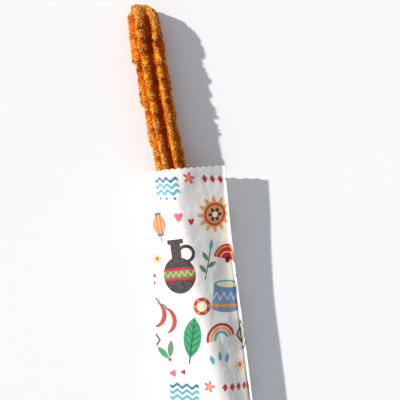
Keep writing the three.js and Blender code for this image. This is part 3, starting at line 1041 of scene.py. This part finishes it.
def blossom(spot):
    return [(rays(spot, 5, 5, 0.28), "pink"), (disc(spot, 1.7), "orange")]


def drops(spot):
    return [(almond(part(spot, x, y, turn), 7, 3.2), "teal") for x, y, turn in ((-6, 0, 20), (0, 2, 0), (6, 0, -20))]


def berries(spot):
    places = ((-3, 1, "red"), (1.8, -1.5, "red"), (-1, 5, "pink"), (3.6, 4, "red"))
    stem = (stroke(spot, (-3, -6), (2, 6), 0.6), "darkGreen")
    return [stem] + [(disc(spot, 1.5, x, y), ink) for x, y, ink in places]


artwork = {
    "halfTile": (47.5, 90), "softness": 0.28,
    "strength": 0.985, "patchiness": 0.06, "patchScale": 0.35,
    "motifs": [  # across from the left crease, down from the mouth, turn, size
        (waves, 24, 17, -4, 1.15), (blossom, 48, 9, 0, 1.1), (diamondRow, 76, 12, -6, 1.0), (lantern, 10, 46, 6, 1.15),
        (hearts, 38, 42, 0, 1.2), (sun, 65, 41, 0, 1.15), (jug, 27, 84, 3, 1.2), (sprig, 55, 82, -14, 1.2),
        (foldedFan, 77, 76, -14, 1.15), (smallStar, 5, 76, 0, 1.1), (drum, 72, 112, -8, 1.2),
        (tambourine, 47, 119, 0, 1.0), (chillies, 13, 126, 0, 1.15), (berries, 93, 96, 10, 1.1),
        (tallLeaf, 36, 146, -12, 1.15), (rainbow, 62, 144, 8, 1.25), (wovenDiamonds, 89, 148, 0, 1.2),
        (leafPair, 10, 158, 20, 1.3), (drops, 60, 166, 0, 1.2), (smallStar, 80, 174, 10, 1.1),
        (hearts, 20, 176, 30, 1.0),
    ],
}


def printOn(surface, paperColour):
    place = surface.node("UVMap", {"uv_map": "PrintPlace"})
    sharp = 1 / artwork["softness"]
    pale = artwork["patchiness"]
    patchy = between(0.25, 0.6, fuzz(place, artwork["patchScale"], 3)) * pale + (artwork["strength"] - pale)
    coat = paperColour

    def spotAt(x, y, turn, size):
        half = (*artwork["halfTile"], 1)
        moved = vectorMaths("SUBTRACT", place, (x, -y, 0))
        wrapped = vectorMaths("WRAP", moved, half, tuple(-h for h in half))
        shrunk = vectorMaths("MULTIPLY", wrapped, (1 / size, 1 / size, 0))
        return part(spotOf(shrunk), 0, 0, turn)

    for motif, x, y, turn, size in artwork["motifs"]:
        for distance, ink in motif(spotAt(x, y, turn, size)):
            mask = distance.maths("MULTIPLY_ADD", distance, sharp, 0.5, clamp=True) * patchy
            coat = blend(mask, coat, inks[ink])
    return coat


paperLooks = {
    "white": shade(240, 238, 232), "shadeWhite": shade(232, 229, 222), "inside": shade(239, 236, 229),
    "fibreScale": 700, "mottleScale": 60, "grainScale": 260,
    "roughness": 0.58, "specular": 0.35, "bumpStrength": 0.5, "bump": 0.00006,
}


def paperMaterial(name, printed):
    looks = paperLooks
    material, surface = newMaterial(name, {"Specular IOR Level": looks["specular"]})
    place = objectPlace(surface)
    fibres = fuzz(place, looks["fibreScale"], 3, 0.65)
    mottling = fuzz(place, looks["mottleScale"], 3)
    colour = blend(between(0.35, 0.7, mottling), looks["white"], looks["shadeWhite"])
    if printed:
        colour = blend(mark(surface, "inside"), printOn(surface, colour), looks["inside"])
    rough = looks["roughness"] + 0.15 * (fibres - 0.5)
    finish(surface, looks, colour, rough, fibres + 0.6 * fuzz(place, looks["grainScale"], 3))
    return material


wear(makeBag(), paperMaterial("printedPaper", True), "paper", "paper_bag")
plainPaper = paperMaterial("plainPaper", False)
seam, fold = bag["seam"], bag["fold"]
foldTop = -bag["length"] + bag["foldLength"]
backSeam = makeStrip("backSeam", seam, foldTop + seam["fromFold"], -bag["shortfall"] - seam["fromEdge"])
wear(backSeam, plainPaper, "paper")
wear(makeStrip("bottomFold", fold, -bag["length"] + fold["fromEnd"], foldTop), plainPaper, "paper")
print("paper bag made")


# floor, light and camera

stage = {
    "floorSize": 14, "floor": shade(241, 242, 242), "floorTone": shade(240, 241, 241), "floorScale": 3,
    "sky": shade(236, 240, 250), "skyStrength": 0.5,
    "keyTowards": (0.924, -0.383), "keyHeight": 30, "keyStrength": 4.15, "keyColour": (1.0, 0.975, 0.94),
    "keySpread": 1.8,
    "cameraAt": (0.0095, 0.0381, 0.7), "cameraTurn": -4.7, "lens": 70.1,
}


def makeFloor():
    half = stage["floorSize"] / 2
    mesh = bpy.data.meshes.new("studioFloor")
    mesh.from_pydata([(-half, -half, 0), (half, -half, 0), (half, half, 0), (-half, half, 0)], [], [(0, 1, 2, 3)])
    floor = newObject("studioFloor", mesh)
    material, surface = newMaterial("studioFloor", {"Roughness": 0.9, "Specular IOR Level": 0.2})
    tone = fuzz(objectPlace(surface), stage["floorScale"], 2)
    connect(surface, {"Base Color": blend(between(0.3, 0.7, tone), stage["floor"], stage["floorTone"])})
    mesh.materials.append(material)


def makeLight():
    world = bpy.data.worlds.new("studio")
    world.use_nodes = True
    sky = world.node_tree.nodes["Background"].inputs
    sky["Color"].default_value, sky["Strength"].default_value = stage["sky"], stage["skyStrength"]
    bpy.context.scene.world = world
    key = bpy.data.lights.new("key", "SUN")
    key.energy, key.color, key.angle = stage["keyStrength"], stage["keyColour"], math.radians(stage["keySpread"])
    height = math.radians(stage["keyHeight"])
    x, y = stage["keyTowards"]
    towards = Vector((x * math.cos(height), y * math.cos(height), -math.sin(height)))
    newObject("key", key).rotation_euler = towards.to_track_quat("-Z", "Y").to_euler()


def makeCamera():
    camera = bpy.data.cameras.new("camera")
    camera.lens, camera.clip_start = stage["lens"], 0.01
    holder = newObject("camera", camera)
    holder.location = stage["cameraAt"]
    holder.rotation_euler = (0, 0, math.radians(stage["cameraTurn"]))
    bpy.context.scene.camera = holder


makeFloor()
makeLight()
makeCamera()
bpy.context.scene.view_settings.view_transform = "Standard"
print("stage made")
